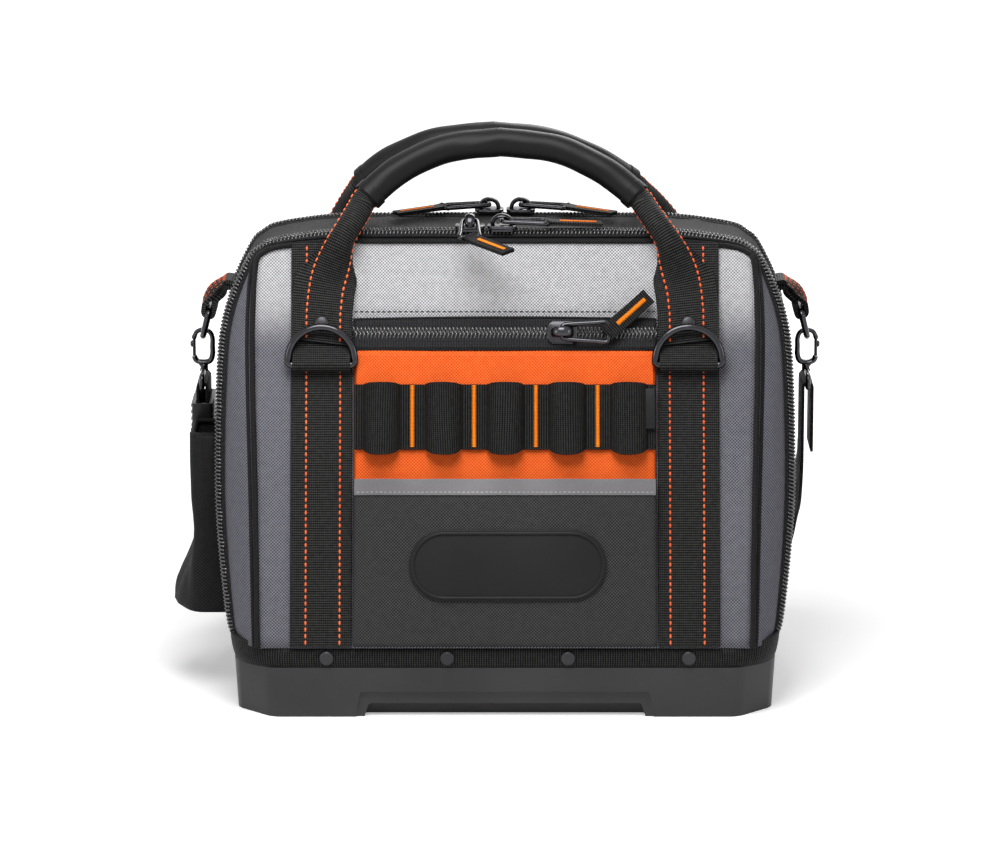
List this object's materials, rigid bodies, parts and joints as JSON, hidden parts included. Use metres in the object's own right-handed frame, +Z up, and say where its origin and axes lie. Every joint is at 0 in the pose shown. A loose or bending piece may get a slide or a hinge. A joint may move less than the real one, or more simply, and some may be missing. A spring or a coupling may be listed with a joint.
{
  "type": "tool bag",
  "caption": "Fabric tool bag on a moulded base tray: two zipped covers fold down from a central spine, each with a padded carry handle, pockets, tool loops, D-rings and a shoulder strap.",
  "frame": {"origin": "centre of the tray's underside, on the surface it stands on", "axes": "+Z up, front face towards -Y, +X to the right as seen from the front"},
  "size_m": [0.412, 0.3052, 0.3511],
  "materials": {
    "grey_fabric": "woven polyester, matte",
    "charcoal_fabric": "woven polyester, matte",
    "orange_fabric": "woven polyester, matte",
    "black_webbing": "ribbed nylon webbing",
    "zip_tape": "woven tape with a moulded coil",
    "grip_rubber": "matte, finely textured",
    "moulded_plastic": "fine satin grain",
    "black_metal": "gloss black",
    "rivet_metal": "satin gunmetal",
    "reflective_tape": "retroreflective, satin",
    "liner_board": "matte board"
  },
  "bodies": {
    "main": {"base_tray": "moulded_plastic", "base_board": "liner_board", "rim_binding": "black_webbing", "rim_rivet_1": "rivet_metal", "rim_rivet_2": "rivet_metal", "rim_rivet_3": "rivet_metal", "rim_rivet_4": "rivet_metal", "spine_band": "charcoal_fabric", "spine_zip_front": "zip_tape", "spine_zip_rear": "zip_tape", "center_divider": "liner_board", "divider_pockets_front": "charcoal_fabric", "divider_pockets_rear": "charcoal_fabric", "side_tab_left": "black_webbing", "side_tab_right": "black_webbing", "side_ring_left": "black_metal", "side_ring_right": "black_metal", "snap_hook_left": "black_metal", "snap_hook_right": "black_metal", "side_pocket": "charcoal_fabric", "shoulder_strap": "black_webbing"},
    "gate_left": {"hook_gate_left": "black_metal"},
    "gate_right": {"hook_gate_right": "black_metal"},
    "adjuster": {"strap_adjuster": "moulded_plastic"},
    "pad": {"shoulder_pad": "charcoal_fabric"},
    "front_cover": {"front_shell": "grey_fabric", "front_zip": "zip_tape", "front_webbing_left": "black_webbing", "front_webbing_right": "black_webbing", "pocket_panel": "orange_fabric", "slip_pocket": "charcoal_fabric", "reflective_strip": "reflective_tape", "tool_loops": "black_webbing", "badge": "grip_rubber", "pocket_zip": "black_webbing", "front_anchor_left": "black_webbing", "front_anchor_right": "black_webbing", "front_rivet_left": "rivet_metal", "front_rivet_right": "rivet_metal"},
    "front_handle": {"front_handle_webbing": "black_webbing", "front_handle_grip": "grip_rubber"},
    "dring_left": {"front_dring_left": "black_metal"},
    "dring_right": {"front_dring_right": "black_metal"},
    "slider_fl": {"slider_front_left": "black_metal"},
    "slider_fr": {"slider_front_right": "black_metal"},
    "pull_fl": {"pull_front_left": "black_metal"},
    "pull_fr": {"pull_front_right": "black_metal"},
    "slider_pocket": {"pocket_slider": "black_metal"},
    "pull_pocket": {"pocket_pull": "black_metal"},
    "rear_cover": {"rear_shell": "grey_fabric", "rear_zip": "zip_tape", "rear_webbing_left": "black_webbing", "rear_webbing_right": "black_webbing"},
    "rear_handle": {"rear_handle_webbing": "black_webbing", "rear_handle_grip": "grip_rubber"},
    "slider_rl": {"slider_rear_left": "black_metal"},
    "slider_rr": {"slider_rear_right": "black_metal"},
    "pull_rl": {"pull_rear_left": "black_metal"},
    "pull_rr": {"pull_rear_right": "black_metal"}
  },
  "joints": [
    {"name": "front_cover_fold", "type": "hinge", "parent": "main", "child": "front_cover", "pos_m": [0, -0.1215, 0.0446], "axis": [1, 0, 0], "range_deg": [0, 90]},
    {"name": "rear_cover_fold", "type": "hinge", "parent": "main", "child": "rear_cover", "pos_m": [0, 0.1215, 0.0446], "axis": [-1, 0, 0], "range_deg": [0, 90]},
    {"name": "front_handle_swing", "type": "hinge", "parent": "front_cover", "child": "front_handle", "pos_m": [0, -0.05234, 0.24259], "axis": [1, 0, 0], "range_deg": [0, 100]},
    {"name": "rear_handle_swing", "type": "hinge", "parent": "rear_cover", "child": "rear_handle", "pos_m": [0, 0.05234, 0.24259], "axis": [-1, 0, 0], "range_deg": [0, 100]},
    {"name": "dring_left_swing", "type": "hinge", "parent": "front_cover", "child": "dring_left", "pos_m": [-0.1136, -0.06615, 0.21223], "axis": [1, 0, 0], "range_deg": [0, 160]},
    {"name": "dring_right_swing", "type": "hinge", "parent": "front_cover", "child": "dring_right", "pos_m": [0.1136, -0.06615, 0.21223], "axis": [1, 0, 0], "range_deg": [0, 160]},
    {"name": "slider_fl_travel", "type": "slide", "parent": "front_cover", "child": "slider_fl", "axis": [-1, 0, 0], "range_m": [0, 0.045]},
    {"name": "slider_fr_travel", "type": "slide", "parent": "front_cover", "child": "slider_fr", "axis": [1, 0, 0], "range_m": [0, 0.05]},
    {"name": "slider_rl_travel", "type": "slide", "parent": "rear_cover", "child": "slider_rl", "axis": [-1, 0, 0], "range_m": [0, 0.045]},
    {"name": "slider_rr_travel", "type": "slide", "parent": "rear_cover", "child": "slider_rr", "axis": [1, 0, 0], "range_m": [0, 0.045]},
    {"name": "pull_fl_swing", "type": "hinge", "parent": "slider_fl", "child": "pull_fl", "pos_m": [-0.0218, -0.028, 0.296], "axis": [-1, 0, 0], "range_deg": [0, 95]},
    {"name": "pull_fr_swing", "type": "hinge", "parent": "slider_fr", "child": "pull_fr", "pos_m": [-0.0018, -0.028, 0.296], "axis": [0.0785, -0.9969, 0], "range_deg": [0, 20]},
    {"name": "pull_rl_swing", "type": "hinge", "parent": "slider_rl", "child": "pull_rl", "pos_m": [-0.01, 0.028, 0.296], "axis": [-0.0785, 0.9969, 0], "range_deg": [0, 11]},
    {"name": "pull_rr_swing", "type": "hinge", "parent": "slider_rr", "child": "pull_rr", "pos_m": [0.01, 0.028, 0.296], "axis": [-0.0785, -0.9969, 0], "range_deg": [0, 11]},
    {"name": "pocket_slider_travel", "type": "slide", "parent": "front_cover", "child": "slider_pocket", "axis": [1, 0, 0], "range_m": [-0.115, 0.003]},
    {"name": "pocket_pull_swing", "type": "hinge", "parent": "slider_pocket", "child": "pull_pocket", "pos_m": [0.0355, -0.06205, 0.2325], "axis": [0, -0.3247, -0.9458], "range_deg": [0, 100]},
    {"name": "gate_left_swing", "type": "hinge", "parent": "main", "child": "gate_left", "pos_m": [-0.1971, 0.014, 0.20105], "axis": [0, 1, 0], "range_deg": [0, 35], "stiffness_Nm_per_rad": 0.01, "springref_deg": -17.19},
    {"name": "gate_right_swing", "type": "hinge", "parent": "main", "child": "gate_right", "pos_m": [0.1971, 0.014, 0.20105], "axis": [0, -1, 0], "range_deg": [0, 35], "stiffness_Nm_per_rad": 0.01, "springref_deg": -17.19},
    {"name": "adjuster_travel", "type": "slide", "parent": "main", "child": "adjuster", "axis": [0, 0, 1], "range_m": [-0.006, 0.006]},
    {"name": "pad_travel", "type": "slide", "parent": "main", "child": "pad", "axis": [1, 0, 0], "range_m": [-0.025, 0.025]}
  ]
}
